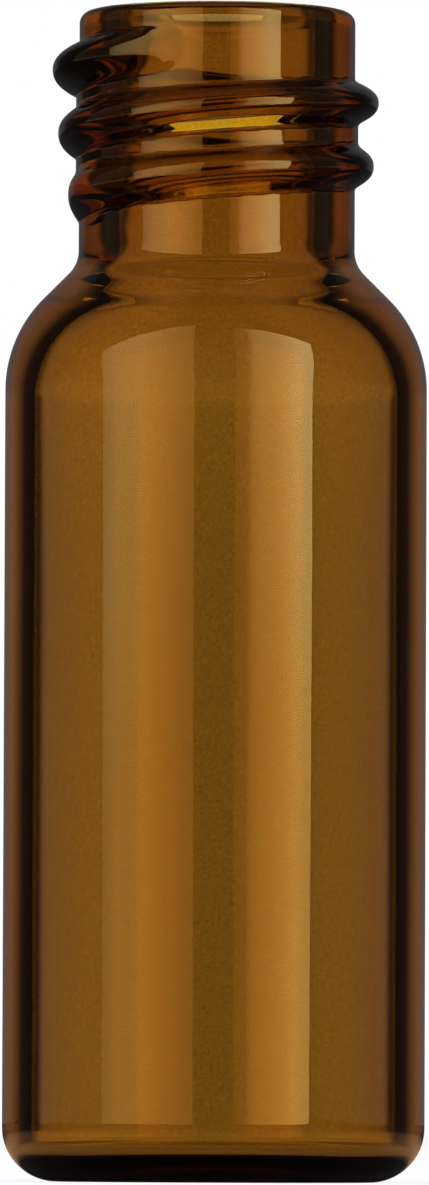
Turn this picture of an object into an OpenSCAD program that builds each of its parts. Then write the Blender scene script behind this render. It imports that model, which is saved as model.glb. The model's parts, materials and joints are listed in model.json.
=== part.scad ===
// Amber glass sample vial with a screw neck, blown from one tube of glass.
// The vial stands on the XY plane with its axis on Z.

/* [Body] */
// Height from the foot to the sealing rim
total_h = 32.2; // [26:0.1:45]
// Outer diameter of the straight body
body_d = 11.6; // [10.5:0.1:15]
// Wall of the straight body
wall = 0.8; // [0.6:0.05:1.3]
// Outer radius of the heel, where the body turns into the base
heel_r = 1.5; // [0.8:0.02:2.4]

/* [Base] */
// Thickness of the base at the foot ring
base_t = 0.9; // [0.8:0.02:2]
// Radius of the corner between the floor and the wall inside
floor_corner_r = 0.4; // [0.2:0.05:1.5]
// Height of the hollow pushed up into the underside
push_up_h = 0.25; // [0.1:0.05:0.5]
// Diameter of the hollow in the underside
push_up_d = 5.6; // [4:0.1:6.5]
// Height of the dome in the middle of the floor inside
floor_dome_h = 0.35; // [0.05:0.05:0.4]
// Diameter of the dome in the middle of the floor
floor_dome_d = 7.2; // [2:0.1:8]

/* [Shoulder] */
// Outer radius of the curve from the body into the shoulder
shoulder_r = 3.55; // [2:0.05:4]
// Angle between the shoulder's cone and the axis
shoulder_slope = 45; // [35:1:60]
// Radius of the hollow curve at the foot of the neck
neck_root_r = 0.92; // [0.4:0.02:1.5]
// Radius of the curve inside, from the chamber's side into the shoulder
chamber_shoulder_r = 2.8; // [1:0.05:3.5]
// Angle between the shoulder's cone inside and the axis
chamber_slope = 48; // [35:1:60]
// Radius of the flare with which the bore widens into the shoulder
flare_r = 2.4; // [0.3:0.1:3]
// Height above the foot of the neck at which the flare begins
flare_rise = 0.4; // [0:0.1:1]

/* [Neck] */
// Outer diameter of the neck, without the thread
neck_d = 7.6; // [7:0.1:9]
// Height of the straight neck, from its root to the rim
neck_h = 6.6; // [6:0.1:10]
// Diameter of the mouth
mouth_d = 5.4; // [4.5:0.1:6]
// Radius of the fire-polished edges of the rim
rim_r = 0.33; // [0.1:0.01:0.45]

/* [Thread] */
// Rise of the thread in one turn
thread_pitch = 1.75; // [1.5:0.05:2]
// Turns of the thread, with both run-outs
thread_turns = 2.4; // [1.5:0.05:2.5]
// Depth of the thread's upper tip below the rim
thread_drop = 1.21; // [1:0.01:1.5]
// Direction of the thread's lower end, anticlockwise from +X seen from above
thread_start = 122; // [0:1:359]
// Height of the ridge above the neck near its lower end
ridge_low_h = 0.46; // [0.3:0.02:0.8]
// Height of the ridge above the neck near its upper end
ridge_high_h = 0.76; // [0.3:0.02:0.9]
// Width of the ridge at its bed, just under the surface of the neck
ridge_w = 1.36; // [1:0.02:1.44]
// Angle over which the ridge grows at its lower end
lower_run_out = 100; // [60:5:180]
// Angle over which the ridge dies away at its upper end
upper_run_out = 75; // [60:5:180]

/* [Hidden] */
$fn = 96;

body_r = body_d / 2;
cavity_r = body_r - wall;
neck_r = neck_d / 2;
mouth_r = mouth_d / 2;

// Foot of the straight neck, outside
neck_foot_z = total_h - neck_h;

// Spare length that carries a cut past the surface it opens
over_cut = 1;

// The ridge starts inside the wall of the neck, so it grows out of the surface
ridge_bed_r = (neck_r + mouth_r) / 2;
ridge_sink = 0.12;
thread_angle = 360 * thread_turns;
thread_low_z = total_h - thread_drop - thread_pitch * thread_turns;
rings_per_turn = 36;
rings = ceil(rings_per_turn * thread_turns);
ridge_points = 10;
// How full the ridge's section is: 2 is a parabola, more has steeper flanks
ridge_fullness = 2.4;

// Part of a circular cap, height h at the axis and zero at the radius a
module half_cap(a, h) {
    cap_r = (a * a + h * h) / (2 * h);
    intersection() {
        translate([0, h - cap_r]) circle(cap_r, $fn = 360);
        square([a, h]);
    }
}

// Half section of a filled bottle, from its bottom to its mouth; the straight neck
// of radius top_r starts at foot_z, above a hollow curve of radius root_r
module bottle_half(side_r, arc_r, slope, top_r, root_r, foot_z, corner_r, z_low, z_high) {
    cone_z = foot_z - root_r * tan(slope / 2);
    arc_z = cone_z - (side_r - top_r) / tan(slope) - arc_r * tan(slope / 2);
    arc_x = side_r - arc_r;
    arc_end = [arc_x + arc_r * cos(slope), arc_z + arc_r * sin(slope)];
    root = [top_r + root_r, foot_z];
    root_low = root - root_r * [cos(slope), sin(slope)];

    // Base and straight side, with the round corner between them
    translate([0, z_low]) square([side_r - corner_r, arc_z - z_low]);
    translate([0, z_low + corner_r]) square([side_r, arc_z - z_low - corner_r]);
    translate([side_r - corner_r, z_low + corner_r]) circle(corner_r);

    // Curve of the shoulder, then its cone
    intersection() {
        translate([arc_x, arc_z]) circle(arc_r);
        translate([0, arc_z]) square([side_r, arc_r]);
    }
    polygon([[0, arc_z], [arc_x, arc_z], arc_end, [top_r, cone_z], [0, cone_z]]);

    // Hollow curve at the foot of the neck, over the edges of the cone and the neck
    difference() {
        polygon([[top_r / 2, root_low.y], root_low, root, [top_r / 2, root.y]]);
        translate(root) circle(root_r);
    }
    translate([0, cone_z]) square([top_r, z_high - cone_z]);
}

// Corner that a rounding of radius rim_r takes off the rim; side is 1 outside, -1 inside
module rim_corner(edge_r, side) {
    translate([edge_r - side * rim_r, total_h - rim_r]) difference() {
        translate([side > 0 ? 0 : -rim_r - over_cut, 0]) square([rim_r + over_cut, rim_r + over_cut]);
        circle(rim_r);
    }
}

module glass_half() {
    difference() {
        bottle_half(body_r, shoulder_r, shoulder_slope, neck_r, neck_root_r, neck_foot_z,
            heel_r, 0, total_h);
        difference() {
            bottle_half(cavity_r, chamber_shoulder_r, chamber_slope, mouth_r, flare_r,
                neck_foot_z + flare_rise, floor_corner_r, base_t, total_h + over_cut);
            translate([0, base_t]) half_cap(floor_dome_d / 2, floor_dome_h);
        }
        half_cap(push_up_d / 2, push_up_h);
        rim_corner(neck_r, 1);
        rim_corner(mouth_r, -1);
    }
}

// Smooth step from 0 to 1 as x goes from 0 to 1
function ease(x) = let(c = max(0, min(1, x))) c * c * (3 - 2 * c);

// Share of its full height that the ridge has, t degrees up the helix
function ridge_share(t) = ease(t / lower_run_out) * ease((thread_angle - t) / upper_run_out);

// Height of the ridge above the neck; both ends lie just under the surface
function ridge_height(t) = let(full = ridge_low_h + (ridge_high_h - ridge_low_h) * t / thread_angle)
    -ridge_sink + (full + ridge_sink) * ridge_share(t);

// Section of the ridge: a round crest with steep flanks over a bed in the neck's wall
function ridge_section(t) = let(rise = ridge_height(t) + ridge_sink) concat(
    [[ridge_bed_r, -ridge_w / 2]],
    [for (i = [0:ridge_points]) let(u = 2 * i / ridge_points - 1)
        [neck_r - ridge_sink + rise * (1 - pow(abs(u), ridge_fullness)), ridge_w / 2 * u]],
    [[ridge_bed_r, ridge_w / 2]]);

function thread_ring(t) = [for (p = ridge_section(t)) [
    p.x * cos(thread_start + t),
    p.x * sin(thread_start + t),
    thread_low_z + thread_pitch * t / 360 + p.y]];

module thread_ridge() {
    corners = ridge_points + 3;
    points = [for (i = [0:rings]) each thread_ring(thread_angle * i / rings)];
    sides = [for (i = [0:rings - 1], j = [0:corners - 1]) let(k = (j + 1) % corners)
        [i * corners + j, i * corners + k, (i + 1) * corners + k, (i + 1) * corners + j]];
    low_end = [for (j = [corners - 1:-1:0]) j];
    high_end = [for (j = [0:corners - 1]) rings * corners + j];
    polyhedron(points, concat(sides, [low_end, high_end]), convexity = 6);
}

module glass_vial() {
    color([0.43, 0.27, 0.07]) union() {
        rotate_extrude() glass_half();
        thread_ridge();
    }
}

glass_vial();
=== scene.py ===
"""Amber glass sample vial with a screw neck, dressed for the studio.

The vial stands on the XY plane with its axis on Z. Every length is in metres.
"""

from __future__ import annotations

import json
import logging
import math
from dataclasses import dataclass
from enum import Enum
from typing import Union

import bpy
import numpy as np
from mathutils import Matrix, Vector

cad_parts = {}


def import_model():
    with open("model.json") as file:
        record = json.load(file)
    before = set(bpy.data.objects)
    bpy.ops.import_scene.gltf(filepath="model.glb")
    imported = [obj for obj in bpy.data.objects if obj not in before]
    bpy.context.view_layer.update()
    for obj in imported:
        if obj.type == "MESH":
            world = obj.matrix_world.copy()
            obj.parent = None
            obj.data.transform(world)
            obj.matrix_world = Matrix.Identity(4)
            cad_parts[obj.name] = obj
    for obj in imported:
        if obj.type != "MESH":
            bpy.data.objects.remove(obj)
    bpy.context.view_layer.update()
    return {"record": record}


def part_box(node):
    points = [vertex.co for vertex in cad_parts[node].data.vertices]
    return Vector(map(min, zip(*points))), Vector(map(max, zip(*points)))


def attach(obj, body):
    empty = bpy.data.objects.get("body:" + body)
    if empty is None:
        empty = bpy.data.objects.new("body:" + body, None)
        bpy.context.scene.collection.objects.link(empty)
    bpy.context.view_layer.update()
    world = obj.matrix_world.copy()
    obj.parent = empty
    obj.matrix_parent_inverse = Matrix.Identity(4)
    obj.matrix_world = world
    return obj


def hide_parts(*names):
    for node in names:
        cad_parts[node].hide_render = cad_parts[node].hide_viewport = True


LOG = logging.getLogger("glass_vial")
MM = 0.001
# Factor that turns radians into degrees.
DEGREES = 180 / math.pi
WHITE = (1, 1, 1, 1)
# Angles from straight behind the vial between which the light seen through its glass fades.
THROUGH_DEG = (17.5, 26.5)

Pair = tuple[float, float]
Colour = tuple[float, float, float]
Profile = list[Pair]
Socket = bpy.types.NodeSocket
Value = Union[Socket, float]


def arc(centre: Pair, radius: float, start: float, end: float, steps: int) -> Profile:
    """Points along a circular arc in the radius-height plane.

    Args:
        centre: Radius and height of the arc's centre.
        radius: Radius of the arc.
        start: Direction of the first point, in degrees from the outward direction.
        end: Direction of the last point.
        steps: Number of equal steps between them.

    Returns:
        The points, first and last included.
    """
    angles = [math.radians(start + (end - start) * i / steps) for i in range(steps + 1)]
    return [(centre[0] + radius * math.cos(a), centre[1] + radius * math.sin(a)) for a in angles]


def line(start: Pair, end: Pair, steps: int) -> Profile:
    """Points along a straight stretch, without its two ends, crowded towards both of them."""
    shares = [(1 - math.cos(math.pi * i / steps)) / 2 for i in range(1, steps)]
    return [(start[0] + (end[0] - start[0]) * s, start[1] + (end[1] - start[1]) * s) for s in shares]


def cap(size: Pair, z: float, steps: int) -> Profile:
    """Points on a shallow cap from the axis to its edge, the edge left out.

    Args:
        size: Radius of the cap's edge, and how far its middle stands above the edge.
        z: Height of its edge.
        steps: Number of equal steps along it.

    Returns:
        The points, from the axis outwards.
    """
    edge, high = size
    ball = (edge * edge + high * high) / (2 * high)
    half = math.degrees(math.asin(edge / ball))
    return arc((0, z + high - ball), ball, 90, 90 - half, steps)[:-1]


def shoulder(side: float, curve: float, neck: float, foot: float, root: float, slope_deg: float) -> Profile:
    """Points from the top of a straight side, round a shoulder and up to a straight neck.

    Args:
        side: Radius of the straight side.
        curve: Radius of the round turn from the side into the slope.
        neck: Radius of the straight neck.
        foot: Height at which the neck's straight wall starts.
        root: Radius of the hollow turn from the slope into the neck.
        slope_deg: Angle of the slope from the vertical, in degrees.

    Returns:
        The points, from the side up to the neck.
    """
    slope = math.radians(slope_deg)
    start = foot - (side - neck) / math.tan(slope) - (curve + root) * math.tan(slope / 2)
    turn = arc((side - curve, start), curve, 0, slope_deg, steps=24)
    hollow = arc((neck + root, foot), root, 180 + slope_deg, 180, steps=20)
    return turn + line(turn[-1], hollow[0], steps=6) + hollow


def ease(x: np.ndarray) -> np.ndarray:
    """Smooth step from 0 to 1 as x goes from 0 to 1."""
    x = np.clip(x, 0, 1)
    return x * x * (3 - 2 * x)


class NodeKit:
    """Tools that add nodes to one tree and wire them as they go."""

    def __init__(self, tree: bpy.types.NodeTree) -> None:
        """Takes the tree that gets the nodes."""
        self.nodes, self.links = tree.nodes, tree.links

    def give(self, socket: Socket, value: object) -> None:
        """Links an output to an input, or sets the input to a plain value.

        Args:
            socket: The input.
            value: The output to link, or the number, colour or vector to set.
        """
        if isinstance(value, Socket):
            self.links.new(value, socket)
        else:
            socket.default_value = value

    def add(self, kind: str, inputs: dict | None = None, **settings: object) -> bpy.types.Node:
        """Adds a node.

        Args:
            kind: Type of the node.
            inputs: What each input gets, by the input's name or place.
            settings: The node's own settings.

        Returns:
            The node.
        """
        node = self.nodes.new(kind)
        for name, setting in settings.items():
            setattr(node, name, setting)
        for name, value in (inputs or {}).items():
            self.give(node.inputs[name], value)
        return node

    def maths(self, kind: str, *values: Value) -> Socket:
        """Result of a Math node."""
        return self.add("ShaderNodeMath", dict(enumerate(values)), operation=kind).outputs[0]

    def times(self, first: Value, second: Value) -> Socket:
        """Product of two values."""
        return self.maths("MULTIPLY", first, second)

    def plus(self, first: Value, second: Value) -> Socket:
        """Sum of two values."""
        return self.maths("ADD", first, second)

    def minus(self, first: Value, second: Value) -> Socket:
        """First value less the second."""
        return self.maths("SUBTRACT", first, second)

    def larger(self, first: Value, second: Value) -> Socket:
        """Larger of two values."""
        return self.maths("MAXIMUM", first, second)

    def fall(self, value: Value, start: float, end: float, high: Value = 1.0, low: Value = 0.0) -> Socket:
        """Goes smoothly from one value to another as a third goes from start to end.

        Args:
            value: The value that is followed.
            start: Where it begins to count.
            end: Where it stops counting.
            high: The result up to the start.
            low: The result from the end on.

        Returns:
            The result.
        """
        inputs = {"Value": value, "From Min": start, "From Max": end, "To Min": high, "To Max": low}
        return self.add("ShaderNodeMapRange", inputs, interpolation_type="SMOOTHSTEP").outputs["Result"]

    def mix(self, share: Value, first: object, second: object, blend: str = "MIX") -> Socket:
        """Mixes two colours.

        Args:
            share: How much of the mix is used.
            first: The colour at a share of 0.
            second: The colour that comes in as the share grows.
            blend: The way they are mixed.

        Returns:
            The mixed colour.
        """
        inputs = {"Factor": share, "A": first, "B": second}
        return self.add("ShaderNodeMix", inputs, data_type="RGBA", blend_type=blend).outputs["Result"]

    def noise(self, place: Socket, scale: float, detail: int) -> Socket:
        """Value of soft noise at a place."""
        inputs = {"Vector": place, "Scale": scale, "Detail": detail}
        return self.add("ShaderNodeTexNoise", inputs).outputs["Fac"]

    def split(self, place: Socket) -> tuple[Socket, ...]:
        """The three parts of a vector."""
        return tuple(self.add("ShaderNodeSeparateXYZ", {"Vector": place}).outputs)


@dataclass(frozen=True)
class DrawnGlassGrain:
    """Marks that drawing and moulding leave: faint streaks up the tube, slow waves, mottling and seeds.

    A seed is a small round bubble. Its size is a share of a cell, and its flat core a share of its size.
    """

    streak_turns: float = 26
    streak_climb_per_mm: float = 0.03
    streak_height: float = 0.0009 * MM
    haze_from: Pair = (0.5, 0.75)
    haze: float = 0.02
    wave_per_mm: float = 0.16
    wave_height: float = 0.012 * MM
    mottle_per_mm: float = 11.0
    seed_per_mm: float = 0.5
    seed_share: float = 0.08
    seed_size: float = 0.055
    seed_core: float = 0.2
    seed_height: float = 0.006 * MM
    seed_roughness: float = 0.08

    def streaks(self, kit: NodeKit, place: Socket) -> Socket:
        """Noise that runs up the tube: only the direction round the axis and a little height move it.

        Args:
            kit: Tools for the tree that takes the nodes.
            place: Place on the object.

        Returns:
            The strength of the streaks.
        """
        x, y, z = kit.split(place)
        flat = kit.add("ShaderNodeCombineXYZ", {"X": x, "Y": y}).outputs["Vector"]
        around = kit.add("ShaderNodeVectorMath", {0: flat}, operation="NORMALIZE").outputs["Vector"]
        climb = kit.add("ShaderNodeCombineXYZ", {"Z": kit.times(z, self.streak_climb_per_mm / MM)})
        spread = (self.streak_turns / math.tau,) * 3
        inputs = {0: around, 1: spread, 2: climb.outputs["Vector"]}
        ray = kit.add("ShaderNodeVectorMath", inputs, operation="MULTIPLY_ADD")
        return kit.noise(ray.outputs["Vector"], scale=1, detail=3)

    def seeds(self, kit: NodeKit, place: Socket) -> Socket:
        """Round bubbles, one in each of a small share of the cells.

        Args:
            kit: Tools for the tree that takes the nodes.
            place: Place on the object.

        Returns:
            A mask of the bubbles, soft at their edges.
        """
        cells = kit.add("ShaderNodeTexVoronoi", {"Vector": place, "Scale": self.seed_per_mm / MM})
        tone = kit.add("ShaderNodeSeparateColor", {"Color": cells.outputs["Color"]})
        chosen = kit.maths("GREATER_THAN", tone.outputs["Red"], 1 - self.seed_share)
        return kit.times(
            kit.fall(cells.outputs["Distance"], self.seed_core * self.seed_size, self.seed_size), chosen
        )

    def build(self) -> bpy.types.NodeTree:
        """Makes the node group.

        Returns:
            A group that gives a height in metres, a roughness, a mask of the seeds and a mottle.
        """
        group = bpy.data.node_groups.new("drawn_glass_grain", "ShaderNodeTree")
        group.interface.new_socket("Roughness", in_out="INPUT", socket_type="NodeSocketFloat")
        for name in ("Height", "Roughness", "Seeds", "Mottle"):
            group.interface.new_socket(name, in_out="OUTPUT", socket_type="NodeSocketFloat")
        kit = NodeKit(group)
        given = kit.add("NodeGroupInput").outputs["Roughness"]
        place = kit.add("ShaderNodeTexCoord").outputs["Object"]
        streaks, seeds = self.streaks(kit, place), self.seeds(kit, place)
        waves = kit.noise(place, scale=self.wave_per_mm / MM, detail=1)
        height = kit.plus(kit.times(streaks, self.streak_height), kit.times(waves, self.wave_height))
        rough = kit.plus(given, kit.fall(streaks, *self.haze_from, 0.0, self.haze))
        results = {
            "Height": kit.plus(height, kit.times(seeds, self.seed_height)),
            "Roughness": kit.plus(rough, kit.times(seeds, self.seed_roughness)),
            "Seeds": seeds,
            "Mottle": kit.noise(place, scale=self.mottle_per_mm / MM, detail=2),
        }
        kit.add("NodeGroupOutput", results)
        return group


@dataclass(frozen=True)
class AmberGlass:
    """Amber borosilicate glass: a stained, faintly marked skin over glass that darkens with depth."""

    tint: Colour = (0.562, 0.49, 0.208)
    mottle: float = 0.3
    seed_tint: Colour = (0.66, 0.58, 0.3)
    absorbed_per_mm: Colour = (0.40, 0.83, 1.40)
    mirror_tint: Colour = (1.0, 0.585, 0.13)
    ior: float = 1.5
    roughness: float = 0.0

    def build(self) -> bpy.types.Material:
        """Makes the material.

        Returns:
            The material, with its surface and its volume.
        """
        mat = bpy.data.materials.new("amber_glass")
        mat.use_nodes = True
        nodes = mat.node_tree.nodes
        kit = NodeKit(mat.node_tree)
        shader = nodes["Principled BSDF"]
        shader.inputs["Transmission Weight"].default_value = 1
        shader.inputs["IOR"].default_value = self.ior
        shader.inputs["Specular Tint"].default_value = (*self.mirror_tint, 1)
        grain = kit.add("ShaderNodeGroup", node_tree=DrawnGlassGrain().build())
        grain.inputs["Roughness"].default_value = self.roughness
        kit.give(shader.inputs["Roughness"], grain.outputs["Roughness"])
        darker, lighter = (
            (*(share * part for part in self.tint), 1) for share in (1 - self.mottle, 1 + self.mottle)
        )
        mottled = kit.mix(grain.outputs["Mottle"], darker, lighter)
        stain = kit.mix(grain.outputs["Seeds"], mottled, (*self.seed_tint, 1))
        kit.give(shader.inputs["Base Color"], stain)
        bump = kit.add("ShaderNodeBump", {"Distance": 1, "Height": grain.outputs["Height"]})
        kit.give(shader.inputs["Normal"], bump.outputs["Normal"])
        density = max(self.absorbed_per_mm) / MM
        depth = kit.add("ShaderNodeVolumeAbsorption")
        depth.inputs["Color"].default_value = (*(1 - a / MM / density for a in self.absorbed_per_mm), 1)
        depth.inputs["Density"].default_value = density
        kit.give(nodes["Material Output"].inputs["Volume"], depth.outputs["Volume"])
        return mat


@dataclass
class ThreadRidge:
    """Round right-hand thread that stands on the neck and dies away at both ends.

    Its crest rises from the low height to the high one by the power of its growth, and its fullness says
    how steep its flanks are. Between its turns the neck is raised a little, as a shallow valley.
    """

    top_z: float
    pitch: float = 1.75 * MM
    turns: float = 2.4
    start_deg: float = 122
    low_height: float = 0.47 * MM
    high_height: float = 0.78 * MM
    growth: float = 1.5
    half_width: float = 0.68 * MM
    wider_left: float = 0.07
    fullness: float = 2.4
    lower_run_out: float = 100
    upper_run_out: float = 75
    valley: float = 0.09 * MM
    valley_run_out: float = 60
    valley_side: float = 0.3
    blend: float = 0.09 * MM

    def height(self, azimuth: np.ndarray, z: np.ndarray) -> np.ndarray:
        """Height of the ridge above the neck at points on it.

        Args:
            azimuth: Directions of the points, in degrees anticlockwise from +X.
            z: Heights of the points.

        Returns:
            The ridge's height at each point.
        """
        total = 360 * self.turns
        first = np.mod(azimuth - self.start_deg, 360)
        low_z = self.top_z - self.pitch * self.turns
        half = self.half_width * (1 - self.wider_left * np.cos(np.radians(azimuth)))
        side = self.valley_side * self.pitch
        ridge = np.full(np.broadcast(azimuth, z).shape, -self.blend)
        floor = np.zeros_like(ridge)
        for turn in range(math.ceil(self.turns) + 1):
            t = first + 360 * turn
            share = ease(t / self.lower_run_out) * ease((total - t) / self.upper_run_out)
            grown = np.clip(t / total, 0, 1) ** self.growth
            crest = self.low_height + (self.high_height - self.low_height) * grown
            along = z - low_z - self.pitch * t / 360
            round_top = 1 - np.abs(along / half) ** self.fullness
            section = (crest + self.blend) * share * round_top - self.blend
            ridge = np.where(t <= total, np.maximum(ridge, section), ridge)
            between = ease((total - 360 - t) / self.valley_run_out) * ease(t / self.valley_run_out)
            inside = ease(along / side) * ease((self.pitch - along) / side)
            floor = floor + self.valley * between * inside
        rise = ridge - floor
        soft = np.sqrt(rise * rise + (self.blend * ease((ridge + self.blend) / self.blend)) ** 2)
        return (ridge + floor + soft) / 2


@dataclass
class GlassBody:
    """The vial's one piece of glass, as a closed skin turned round the axis.

    The push-up under the base and the dome on the floor inside are given by radius and height.
    """

    radius: float
    height: float
    mouth_radius: float
    wall: float = 0.8 * MM
    heel_radius: float = 1.5 * MM
    base_thickness: float = 0.9 * MM
    floor_corner: float = 0.4 * MM
    push_up: Pair = (2.8 * MM, 0.25 * MM)
    floor_dome: Pair = (3.6 * MM, 0.35 * MM)
    shoulder_radius: float = 3.55 * MM
    slope_deg: float = 45
    neck_root: float = 0.92 * MM
    inner_shoulder_radius: float = 2.8 * MM
    inner_slope_deg: float = 48
    flare_radius: float = 2.4 * MM
    flare_rise: float = 0.4 * MM
    neck_radius: float = 3.8 * MM
    neck_height: float = 6.6 * MM
    rim_radius: float = 0.33 * MM
    thread_drop: float = 1.21 * MM
    thread_fade: float = 0.3 * MM
    thread_row: float = 0.06 * MM
    segments: int = 256

    def __post_init__(self) -> None:
        """Works out where the neck's straight wall starts, and places the thread under the rim."""
        self.neck_foot = self.height - self.neck_height
        self.thread = ThreadRidge(top_z=self.height - self.thread_drop)

    def outside(self) -> Profile:
        """Section of the outer surface.

        Returns:
            Points from the middle of the underside to the middle of the rim.
        """
        heel_in = self.radius - self.heel_radius
        base = cap(self.push_up, 0, steps=10) + [(self.push_up[0], 0.0)]
        base += line(base[-1], (heel_in, 0), steps=4)
        base += arc((heel_in, self.heel_radius), self.heel_radius, -90, 0, steps=20)
        upper = shoulder(
            side=self.radius,
            curve=self.shoulder_radius,
            neck=self.neck_radius,
            foot=self.neck_foot,
            root=self.neck_root,
            slope_deg=self.slope_deg,
        )
        rim_centre = (self.neck_radius - self.rim_radius, self.height - self.rim_radius)
        rim = arc(rim_centre, self.rim_radius, 0, 90, steps=8)
        low, high = upper[-1][1], rim[0][1]
        rows = round((high - low) / self.thread_row)
        neck = [(self.neck_radius, low + (high - low) * i / rows) for i in range(1, rows)]
        return base + line(base[-1], upper[0], steps=24) + upper + neck + rim

    def inside(self) -> Profile:
        """Section of the inner surface.

        Returns:
            Points from the rim's inner rounding down to the middle of the floor.
        """
        cavity = self.radius - self.wall
        rim_centre = (self.mouth_radius + self.rim_radius, self.height - self.rim_radius)
        rim = arc(rim_centre, self.rim_radius, 90, 180, steps=8)
        upper = shoulder(
            side=cavity,
            curve=self.inner_shoulder_radius,
            neck=self.mouth_radius,
            foot=self.neck_foot + self.flare_rise,
            root=self.flare_radius,
            slope_deg=self.inner_slope_deg,
        )[::-1]
        corner_centre = (cavity - self.floor_corner, self.base_thickness + self.floor_corner)
        corner = arc(corner_centre, self.floor_corner, 0, -90, steps=10)
        floor = [(self.floor_dome[0], self.base_thickness)]
        floor += cap(self.floor_dome, self.base_thickness, steps=8)[::-1]
        section = rim + line(rim[-1], upper[0], steps=10) + upper
        section += line(upper[-1], corner[0], steps=24) + corner
        return section + line(corner[-1], floor[0], steps=6) + floor

    def faces(self, rings: int) -> list[tuple[int, ...]]:
        """Faces of the skin, over the rings' points and then the two points on the axis.

        Args:
            rings: Number of rings of points.

        Returns:
            The points of each face.
        """
        n = self.segments
        low_pole, high_pole = rings * n, rings * n + 1
        faces = []
        for j in range(n):
            k = (j + 1) % n
            faces.append((low_pole, k, j))
            faces.extend((i * n + j, i * n + k, (i + 1) * n + k, (i + 1) * n + j) for i in range(rings - 1))
            faces.append((high_pole, (rings - 1) * n + j, (rings - 1) * n + k))
        return faces

    def build(self) -> bpy.types.Object:
        """Turns the section into a closed mesh with the thread on its neck.

        Returns:
            The object that holds the mesh.
        """
        outside, inside = self.outside(), self.inside()
        rows = np.array(outside + inside)
        around = np.arange(self.segments) * 360 / self.segments
        # The first and last rows are the two points on the axis.
        ring_r, ring_z = rows[1:-1, 0, None], rows[1:-1, 1, None]
        outer = np.arange(1, len(rows) - 1)[:, None] < len(outside)
        fade = ease((self.height - self.rim_radius - ring_z) / self.thread_fade)
        ridge = self.thread.height(around[None, :], ring_z) * fade
        radii = ring_r + np.where(outer & (ring_z > self.neck_foot), ridge, 0)
        turn = np.radians(around)[None, :]
        points = np.stack(
            [radii * np.cos(turn), radii * np.sin(turn), np.broadcast_to(ring_z, radii.shape)], axis=-1
        ).reshape(-1, 3)
        points = np.vstack([points, [0, 0, rows[0, 1]], [0, 0, rows[-1, 1]]])
        mesh = bpy.data.meshes.new("glass_vial_blown")
        mesh.from_pydata(points.tolist(), [], self.faces(len(rows) - 2))
        mesh.shade_smooth()
        mesh.validate()
        body = bpy.data.objects.new("glass_vial_blown", mesh)
        bpy.context.scene.collection.objects.link(body)
        return body

    def dress(self, body: bpy.types.Object) -> None:
        """Gives the body its glass, hangs it from the root body and hides the CAD part that it replaces.

        Args:
            body: The object that build() made.
        """
        body.data.materials.append(AmberGlass().build())
        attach(body, "root")
        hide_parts("glass_vial")


class Ray(Enum):
    """What the floor and the surroundings ask about a ray, as outputs of the Light Path node."""

    SEEN = "Is Camera Ray"
    MIRRORED = "Is Glossy Ray"
    THROUGH = "Is Transmission Ray"
    SURFACES = "Transmission Depth"


def rays(kit: NodeKit) -> dict[Ray, Socket]:
    """Asks the questions about the rays that reach a surface or the surroundings.

    Args:
        kit: Tools for the tree that takes the Light Path node.

    Returns:
        A mask of each kind of ray, and the number of glass surfaces that they have passed through.
    """
    path = kit.add("ShaderNodeLightPath")
    masks = {ray: path.outputs[ray.value] for ray in Ray}
    # A refracted ray counts as glossy too, so the mask of mirrored rays leaves it out.
    masks[Ray.MIRRORED] = kit.larger(kit.minus(masks[Ray.MIRRORED], masks[Ray.THROUGH]), 0.0)
    return masks


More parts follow.
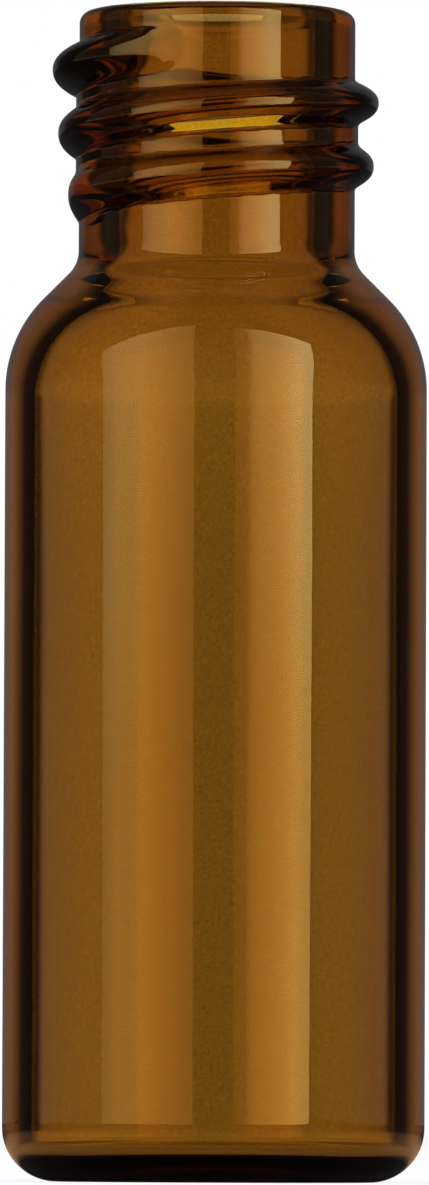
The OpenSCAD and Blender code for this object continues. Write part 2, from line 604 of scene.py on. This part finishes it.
@dataclass
class StudioFloor:
    """Pale floor, with a glow of its own for the eye, and painted light and shade for what shows through the
    glass and for its mirror.
    """

    size: float = 4.0
    colour: float = 0.2
    # Share by which the floor's colour is darkened, as painted shade, for rays from the glass.
    dimmed_in_glass: float = 0.8
    roughness: float = 0.9
    specular: float = 0.2
    glow: float = 0.8
    # Seen through the glass: painted light, a bright field behind the vial counted from a point just in front
    # of it, with painted shade near the foot.
    fan_start: float = 20 * MM
    through_deg: Pair = THROUGH_DEG
    through: float = 1.0
    aside: Pair = (0.4, 0.06)
    aside_end: Pair = (20 * MM, 50 * MM)
    far: Pair = (25 * MM, 200 * MM)
    far_gain: Pair = (0.38, 1.3)
    # Mirrored by the glass: a painted warm glow in a ring round the foot, with painted shadow next to the
    # foot, where it stays dark.
    painted_ring_glow: float = 0.42
    painted_shadow_edge: Pair = (5.8 * MM, 6.8 * MM)
    ring_end: Pair = (8 * MM, 30 * MM)
    painted_ring_colour: Colour = (1.0, 0.56, 0.27)

    def material(self) -> bpy.types.Material:
        """Makes the floor's material.

        Returns:
            The material.
        """
        mat = bpy.data.materials.new("studio_floor")
        mat.use_nodes = True
        kit = NodeKit(mat.node_tree)
        mask = rays(kit)
        # Painted shade: rays from the glass see the floor's colour darker than the eye does.
        in_glass = kit.larger(mask[Ray.THROUGH], mask[Ray.MIRRORED])
        colour = kit.times(kit.minus(1.0, kit.times(in_glass, self.dimmed_in_glass)), self.colour)
        x, y, _ = kit.split(kit.add("ShaderNodeNewGeometry").outputs["Position"])
        azimuth = kit.maths("ARCTAN2", x, kit.plus(y, self.fan_start))
        aside = kit.times(kit.maths("ABSOLUTE", azimuth), DEGREES)
        out = kit.maths("SQRT", kit.plus(kit.maths("POWER", x, 2.0), kit.maths("POWER", y, 2.0)))
        # Seen through the glass, the floor's glow is painted light: darker near the foot, as painted shade,
        # and brighter away from it.
        beside = kit.fall(out, *self.aside_end, *self.aside)
        behind = kit.fall(aside, *self.through_deg, self.through, beside)
        seen_through = kit.times(behind, kit.fall(out, *self.far, *self.far_gain))
        # Painted reflection: for mirrored rays the floor glows in a ring round the foot, and stays dark right
        # by the foot as painted shadow.
        painted_ring_glow = kit.times(kit.fall(out, *self.painted_shadow_edge, 0.0, self.painted_ring_glow), kit.fall(out, *self.ring_end))
        glow = kit.larger(kit.times(mask[Ray.THROUGH], seen_through), kit.times(mask[Ray.SEEN], self.glow))
        glow = kit.larger(glow, kit.times(mask[Ray.MIRRORED], painted_ring_glow))
        shader = mat.node_tree.nodes["Principled BSDF"]
        shader.inputs["Roughness"].default_value = self.roughness
        shader.inputs["Specular IOR Level"].default_value = self.specular
        kit.give(shader.inputs["Base Color"], colour)
        # Mirrored rays get the painted ring's warm colour, other rays white.
        warm = kit.mix(mask[Ray.MIRRORED], WHITE, (*self.painted_ring_colour, 1))
        kit.give(shader.inputs["Emission Color"], warm)
        kit.give(shader.inputs["Emission Strength"], glow)
        return mat

    def build(self) -> bpy.types.Object:
        """Lays the floor.

        Returns:
            The floor.
        """
        half = self.size / 2
        mesh = bpy.data.meshes.new("studio_floor")
        corners = [(-half, -half, 0), (half, -half, 0), (half, half, 0), (-half, half, 0)]
        mesh.from_pydata(corners, [], [(0, 1, 2, 3)])
        mesh.materials.append(self.material())
        floor = bpy.data.objects.new("studio_floor", mesh)
        bpy.context.scene.collection.objects.link(floor)
        return floor


@dataclass
class Surroundings:
    """World round the set: white to the eye, with a bright field behind the vial for its glass.

    Angles are counted sideways from straight behind the vial, or up from level.
    """

    fill: float = 0.5
    # Seen through both walls: the field, its gain at the left and the right, and its change as it climbs.
    through_deg: Pair = THROUGH_DEG
    side_deg: Pair = (1, 6)
    side_gain: Pair = (1.3, 1.16)
    climb_deg: Pair = (2.4, 4.6)
    climb_gain: float = 1.35
    climb_spread: float = 0.77
    top_deg: Pair = (20, 40)
    dim: float = 0.01
    # A smaller window at each side serves the views from there.
    window_deg: Pair = (5, 22)
    window: float = 0.8
    # Seen through one wall alone, by rays that passed fewer surfaces than these.
    surfaces: float = 2.5
    one_wall_deg: Pair = (16, 38)
    one_wall_climb_deg: Pair = (4.3, 5.2)
    one_wall: Pair = (0.8, 0.68)
    one_wall_window: float = 0.5
    # Mirrored by the glass: a weak field behind the vial, for its edges, and wings beside it.
    edge_deg: Pair = (28, 46)
    edge: float = 0.12
    wings_deg: Pair = (65, 75)
    wings_end_deg: Pair = (115, 140)
    wings: Pair = (0.46, 0.42)
    climb_wings: float = 0.4
    mirror_dim: float = 0.045

    @staticmethod
    def sides(kit: NodeKit, azimuth: Socket, values: Pair) -> Socket:
        """One value on the left of the field and another on its right."""
        on_right = kit.maths("GREATER_THAN", azimuth, 0.0)
        return kit.plus(kit.times(on_right, values[1] - values[0]), values[0])

    def seen_through(self, kit: NodeKit, azimuth: Socket, rise: Socket, passed: Socket) -> Socket:
        """Light that shows through the glass.

        Args:
            kit: Tools for the world's tree.
            azimuth: Direction round the vial, in degrees.
            rise: Direction up from level, in degrees.
            passed: Number of surfaces that the ray has passed through.

        Returns:
            Its strength.
        """
        aside = kit.maths("ABSOLUTE", azimuth)
        # The field is a little weaker straight behind the vial, and spreads as it climbs.
        spread = kit.times(aside, kit.fall(rise, *self.climb_deg, 1.0, self.climb_spread))
        gain = kit.minus(self.sides(kit, azimuth, self.side_gain), 1.0)
        gain = kit.plus(kit.times(gain, kit.fall(aside, *self.side_deg, 0.0, 1.0)), 1.0)
        field = kit.times(kit.fall(spread, *self.through_deg), gain)
        field = kit.times(field, kit.fall(rise, *self.climb_deg, 1.0, self.climb_gain))
        window_deg = (90 - width for width in self.window_deg)
        window = kit.fall(kit.maths("PINGPONG", azimuth, 90), *window_deg, self.window)
        field = kit.larger(field, window)
        # Light that crosses one wall alone would outshine the rest of the glass, so its field is its own.
        one = kit.larger(kit.fall(aside, *self.one_wall_deg), kit.times(window, self.one_wall_window))
        one = kit.times(one, kit.fall(rise, *self.one_wall_climb_deg, *self.one_wall))
        both_walls = kit.maths("GREATER_THAN", passed, self.surfaces)
        lit = kit.plus(kit.times(field, both_walls), kit.times(one, kit.minus(1.0, both_walls)))
        return kit.larger(kit.times(lit, kit.fall(rise, *self.top_deg)), self.dim)

    def mirrored(self, kit: NodeKit, azimuth: Socket, rise: Socket) -> Socket:
        """Light that the glass mirrors.

        Args:
            kit: Tools for the world's tree.
            azimuth: Direction round the vial, in degrees.
            rise: Direction up from level, in degrees.

        Returns:
            Its strength.
        """
        aside = kit.maths("ABSOLUTE", azimuth)
        wing = kit.times(self.sides(kit, azimuth, self.wings), kit.fall(aside, *self.wings_deg, 0.0, 1.0))
        wing = kit.times(wing, kit.fall(aside, *self.wings_end_deg))
        wing = kit.times(wing, kit.fall(rise, *self.climb_deg, 1.0, self.climb_wings))
        return kit.larger(kit.larger(kit.fall(aside, *self.edge_deg, self.edge), wing), self.mirror_dim)

    def build(self) -> None:
        """Sets the world."""
        world = bpy.data.worlds.new("studio")
        bpy.context.scene.world = world
        world.use_nodes = True
        world.node_tree.nodes.clear()
        kit = NodeKit(world.node_tree)
        x, y, z = kit.split(kit.add("ShaderNodeTexCoord").outputs["Generated"])
        azimuth = kit.times(kit.maths("ARCTAN2", x, y), DEGREES)
        rise = kit.times(kit.maths("ARCSINE", z), DEGREES)
        mask = rays(kit)
        seen_through = self.seen_through(kit, azimuth, rise, mask[Ray.SURFACES])
        rest = kit.minus(1.0, kit.larger(mask[Ray.THROUGH], mask[Ray.MIRRORED]))
        strength = kit.plus(kit.times(rest, self.fill), kit.times(mask[Ray.THROUGH], seen_through))
        strength = kit.plus(strength, kit.times(mask[Ray.MIRRORED], self.mirrored(kit, azimuth, rise)))
        strength = kit.larger(mask[Ray.SEEN], strength)
        background = kit.add("ShaderNodeBackground", {"Strength": strength, "Color": WHITE})
        kit.add("ShaderNodeOutputWorld", {"Surface": background.outputs["Background"]})


@dataclass(frozen=True)
class Softbox:
    """Soft lamp that hangs across the front or the back of the set, its top leaning over.

    Its foot and top are the places of its lower and upper edge along Y and Z. Its sweep gives places
    along X, in order, with the share of the light there and how warm it is, where full warmth takes the
    two shares in warmth from its green and its blue. Between the two shares of its height in climb, the
    light changes to the climb light.
    """

    name: str
    foot: Pair
    top: Pair
    radiance: float
    sweep: tuple[tuple[float, float, float], ...]
    colour: Colour = (1, 1, 1)
    warmth: Pair = (0.3, 0.6)
    climb: Pair = (0.08, 0.14)
    climb_light: Colour = (1.15, 1.4, 2.2)

    @property
    def span(self) -> Pair:
        """Places of its two ends along X."""
        return self.sweep[0][0], self.sweep[-1][0]

    def face(self, kit: NodeKit) -> Socket:
        """Colour of the lamp's face.

        Args:
            kit: Tools for the lamp's tree.

        Returns:
            The colour, over the width and the height of the face.
        """
        across, up, _ = kit.split(kit.add("ShaderNodeNewGeometry").outputs["Parametric"])
        left, right = self.span
        ramp = kit.add("ShaderNodeValToRGB", {"Fac": across})
        stops = ramp.color_ramp.elements
        while len(stops) < len(self.sweep):
            stops.new(0.5)
        for stop, (x, share, warm) in zip(stops, self.sweep):
            stop.position = (x - left) / (right - left)
            green, blue = (share * (1 - loss * warm) for loss in self.warmth)
            stop.color = (share, green, blue, 1)
        # Above the level that the body mirrors, the light grows brighter and whiter.
        inputs = {"Value": up, "From Min": self.climb[0], "From Max": self.climb[1]}
        climb = kit.add("ShaderNodeMapRange", inputs).outputs["Result"]
        whiter = kit.mix(climb, WHITE, (*self.climb_light, 1))
        return kit.mix(1, ramp.outputs["Color"], whiter, blend="MULTIPLY")

    def hang(self) -> bpy.types.Object:
        """Hangs the lamp.

        Returns:
            The lamp.
        """
        left, right = self.span
        rise = Vector((0, self.top[0] - self.foot[0], self.top[1] - self.foot[1]))
        lamp = bpy.data.lights.new(self.name, "AREA")
        lamp.shape = "RECTANGLE"
        lamp.size, lamp.size_y = right - left, rise.length
        lamp.energy = self.radiance * math.pi * lamp.size * lamp.size_y
        lamp.color = self.colour
        lamp.use_nodes = True
        kit = NodeKit(lamp.node_tree)
        kit.give(lamp.node_tree.nodes["Emission"].inputs["Color"], self.face(kit))
        box = bpy.data.objects.new(self.name, lamp)
        middle = ((self.foot[0] + self.top[0]) / 2, (self.foot[1] + self.top[1]) / 2)
        box.location = ((left + right) / 2, *middle)
        facing = rise.cross(Vector((1, 0, 0)))
        if facing.y * self.foot[0] > 0:
            facing = -facing
        box.rotation_mode = "QUATERNION"
        box.rotation_quaternion = facing.to_track_quat("-Z", "Y")
        bpy.context.scene.collection.objects.link(box)
        return box


@dataclass(frozen=True)
class LongLens:
    """Camera with a long lens, which looks up at the vial from the level of its foot."""

    distance: float = 335 * MM
    height: float = 1.5 * MM
    view_height: float = 32.59 * MM
    aim_height: float = 16.195 * MM
    aside: float = -0.022 * MM
    lean_deg: float = 0.2265
    sensor_mm: float = 36
    clip: Pair = (0.01, 20)

    def build(self) -> bpy.types.Object:
        """Sets up the camera.

        Returns:
            The camera.
        """
        data = bpy.data.cameras.new("camera")
        at = Vector((self.aside, -self.distance, self.height))
        aim = Vector((self.aside, 0, self.aim_height))
        data.sensor_width = self.sensor_mm
        data.lens = self.sensor_mm * (aim - at).length / self.view_height
        data.clip_start, data.clip_end = self.clip
        camera = bpy.data.objects.new("camera", data)
        camera.location = at
        lean = Matrix.Rotation(math.radians(self.lean_deg), 4, "Z")
        turn = (aim - at).to_track_quat("-Z", "Y").to_matrix().to_4x4() @ lean
        camera.rotation_mode = "QUATERNION"
        camera.rotation_quaternion = turn.to_quaternion()
        bpy.context.scene.collection.objects.link(camera)
        bpy.context.scene.camera = camera
        return camera


@dataclass(frozen=True)
class Studio:
    """Pale floor, white surroundings, two softboxes in front and one over the back, and the camera."""

    softboxes: tuple[Softbox, ...] = (
        Softbox(
            name="right_softbox",
            foot=(-0.5, -0.01),
            top=(-0.4, 0.5),
            radiance=5.7,
            sweep=(
                (0.09, 0.07, 1),
                (0.15, 0.16, 1),
                (0.18, 0.38, 0.5),
                (0.22, 0.5, 0.4),
                (0.29, 0.6, 0.4),
                (0.38, 0.78, 0.3),
                (0.48, 0.95, 0.1),
                (0.665, 0.9, 0),
            ),
        ),
        Softbox(
            name="left_softbox",
            foot=(-0.5, -0.01),
            top=(-0.37, 0.5),
            radiance=3.1,
            sweep=(
                (-0.98, 0.3, 0),
                (-0.84, 0.45, 0),
                (-0.68, 0.7, 0.2),
                (-0.52, 0.84, 0.4),
                (-0.41, 1.0, 0.6),
                (-0.28, 0.8, 0.7),
                (-0.2, 0.62, 0.7),
                (-0.1, 0.38, 0.7),
            ),
        ),
        Softbox(
            name="back_softbox",
            foot=(0.72, 0.46),
            top=(0.54, 0.59),
            radiance=1.4,
            sweep=((-0.165, 1.0, 0), (0.16, 1.0, 0)),
            colour=(1.0, 0.93, 0.1),
        ),
    )
    glass_bounces: int = 24
    mirror_bounces: int = 12

    def build(self) -> None:
        """Sets up the whole studio."""
        StudioFloor().build()
        Surroundings().build()
        for softbox in self.softboxes:
            softbox.hang()
        LongLens().build()
        scene = bpy.context.scene
        scene.view_settings.view_transform = "Standard"
        scene.cycles.max_bounces = self.glass_bounces
        scene.cycles.transmission_bounces = self.glass_bounces
        scene.cycles.glossy_bounces = self.mirror_bounces


def mount(record: dict, name: str) -> dict:
    """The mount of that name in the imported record."""
    return next(m for m in record["mounts"] if m["name"] == name)


def main() -> None:
    """Builds the vial and its studio."""
    logging.basicConfig(level=logging.INFO, format="%(message)s")
    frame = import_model()
    low, high = (Vector(corner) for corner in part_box("glass_vial"))
    mouth = mount(frame["record"], "mouth")
    vial = GlassBody(
        radius=(high.x - low.x) / 2,
        height=high.z,
        mouth_radius=mouth["dims"]["r_mm"] * MM,
    )
    body = vial.build()
    vial.dress(body)
    LOG.info("%s: %d faces", body.name, len(body.data.polygons))
    Studio().build()


if __name__ == "__main__":
    main()
